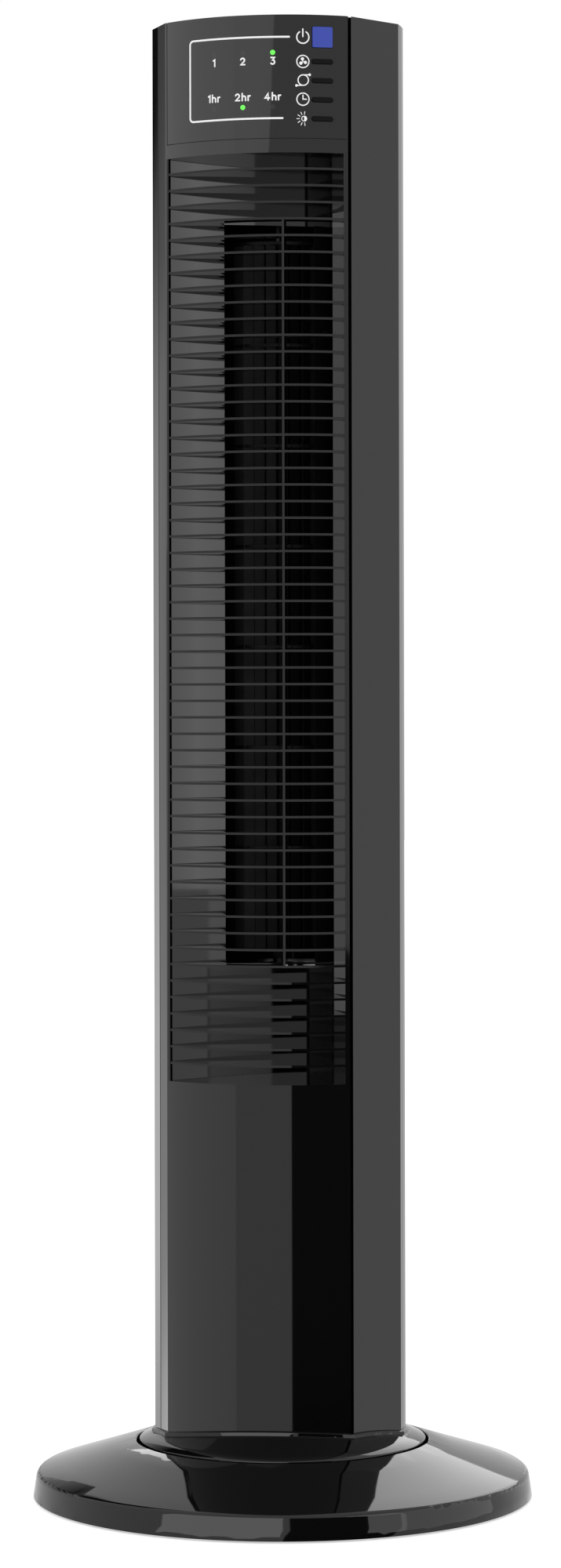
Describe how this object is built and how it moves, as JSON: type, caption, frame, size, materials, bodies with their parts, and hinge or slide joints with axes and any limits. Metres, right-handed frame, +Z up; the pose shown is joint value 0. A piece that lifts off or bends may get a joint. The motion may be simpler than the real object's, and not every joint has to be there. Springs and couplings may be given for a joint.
{
  "type": "tower fan",
  "caption": "Tall bowed tower fan with a louvred front outlet, offset touch-style button panel, round swinging base and a cross-flow blower wheel inside.",
  "frame": {"origin": "on the floor under the swing axis, at the centre of the round base", "axes": "+Z up, -Y towards the louvred front, +X towards the viewer's right when facing the front"},
  "size_m": [0.311, 0.311, 0.9165],
  "materials": {
    "rubber_black": "matt black rubber",
    "matte_black": "satin black ABS",
    "inner_black": "matt black ABS, unseen side",
    "gloss_black": "polished piano-black ABS",
    "steel_screw": "zinc-plated steel",
    "steel_sheet": "bare steel",
    "steel_ball": "polished bearing steel",
    "iron": "black cast iron",
    "acetal": "natural acetal",
    "dark_nylon": "dark grey nylon",
    "lamination": "stacked electrical steel",
    "copper": "enamelled copper wire",
    "bronze": "sintered bronze",
    "board_green": "solder-masked board",
    "cream_plastic": "cream nylon",
    "can": "drawn aluminium can",
    "wire": "black sleeved wire",
    "chip": "moulded component bodies",
    "led_lit": "glowing green LED window",
    "led_off": "dark LED window",
    "button_blue": "blue moulded button",
    "button_black": "black moulded button"
  },
  "bodies": {
    "base": {"rubber_feet": "rubber_black", "base_plate": "inner_black", "base_screws": "steel_screw", "ballast_ring": "iron", "base_cover": "gloss_black", "pivot_post": "dark_nylon", "fixed_gear": "acetal", "ball_cage": "acetal", "bearing_balls": "steel_ball", "pivot_retainer": "steel_sheet", "retainer_screws": "steel_screw"},
    "tower": {"turntable": "gloss_black", "foot_frame": "inner_black", "foot_screws": "steel_screw", "swing_motor": "steel_sheet", "swing_motor_screws": "steel_screw", "front_fascia": "gloss_black", "grille_ribs": "gloss_black", "outlet_tray": "gloss_black", "rear_shell": "gloss_black", "rear_grille": "gloss_black", "shell_screws": "steel_screw", "top_cap": "gloss_black", "cord_gland": "matte_black", "lower_bulkhead": "inner_black", "upper_bulkhead": "inner_black", "scroll_wall": "inner_black", "tongue": "inner_black", "stator_core": "lamination", "stator_windings": "copper", "motor_shields": "steel_sheet", "motor_bushes": "bronze", "motor_grommets": "rubber_black", "motor_screws": "steel_screw", "bearing_grommet": "rubber_black", "top_bush": "bronze", "power_board": "board_green", "power_components": "chip", "run_capacitor": "can", "terminal_block": "cream_plastic", "wiring_harness": "wire", "control_panel": "gloss_black", "lit_led_lenses": "led_lit", "unlit_led_lenses": "led_off", "display_board": "board_green", "led_chips": "cream_plastic", "button_board": "board_green", "tact_switches": "chip"},
    "swing_pinion": {"swing_pinion": "acetal"},
    "blower_wheel": {"impeller": "matte_black", "motor_shaft": "steel_sheet", "top_stub_shaft": "steel_sheet", "motor_rotor": "lamination"},
    "power_button": {"power_button": "button_blue"},
    "speed_button": {"speed_button": "button_black"},
    "swing_button": {"swing_button": "button_black"},
    "timer_button": {"timer_button": "button_black"},
    "dimmer_button": {"dimmer_button": "button_black"}
  },
  "joints": [
    {"name": "tower_swing", "type": "hinge", "parent": "base", "child": "tower", "pos_m": [0, 0, 0.03], "axis": [0, 0, 1], "range_deg": [-40, 40]},
    {"name": "swing_pinion_turn", "type": "hinge", "parent": "tower", "child": "swing_pinion", "pos_m": [0, 0.033, 0.03], "axis": [0, 0, 1], "range_deg": [-106.67, 106.67]},
    {"name": "wheel_spin", "type": "hinge", "parent": "tower", "child": "blower_wheel", "pos_m": [-0.005, 0.021, 0.56], "axis": [0, 0, 1], "continuous": true},
    {"name": "power_press", "type": "slide", "parent": "tower", "child": "power_button", "axis": [-0.3827, 0.9239, 0], "range_m": [0, 0.0008], "stiffness_N_per_m": 350},
    {"name": "speed_press", "type": "slide", "parent": "tower", "child": "speed_button", "axis": [-0.3827, 0.9239, 0], "range_m": [0, 0.0008], "stiffness_N_per_m": 350},
    {"name": "swing_press", "type": "slide", "parent": "tower", "child": "swing_button", "axis": [-0.3827, 0.9239, 0], "range_m": [0, 0.0008], "stiffness_N_per_m": 350},
    {"name": "timer_press", "type": "slide", "parent": "tower", "child": "timer_button", "axis": [-0.3827, 0.9239, 0], "range_m": [0, 0.0008], "stiffness_N_per_m": 350},
    {"name": "dimmer_press", "type": "slide", "parent": "tower", "child": "dimmer_button", "axis": [-0.3827, 0.9239, 0], "range_m": [0, 0.0008], "stiffness_N_per_m": 350}
  ],
  "couplings": [
    {"joint": "swing_pinion_turn", "follows": "tower_swing", "ratio": 2.6667}
  ]
}
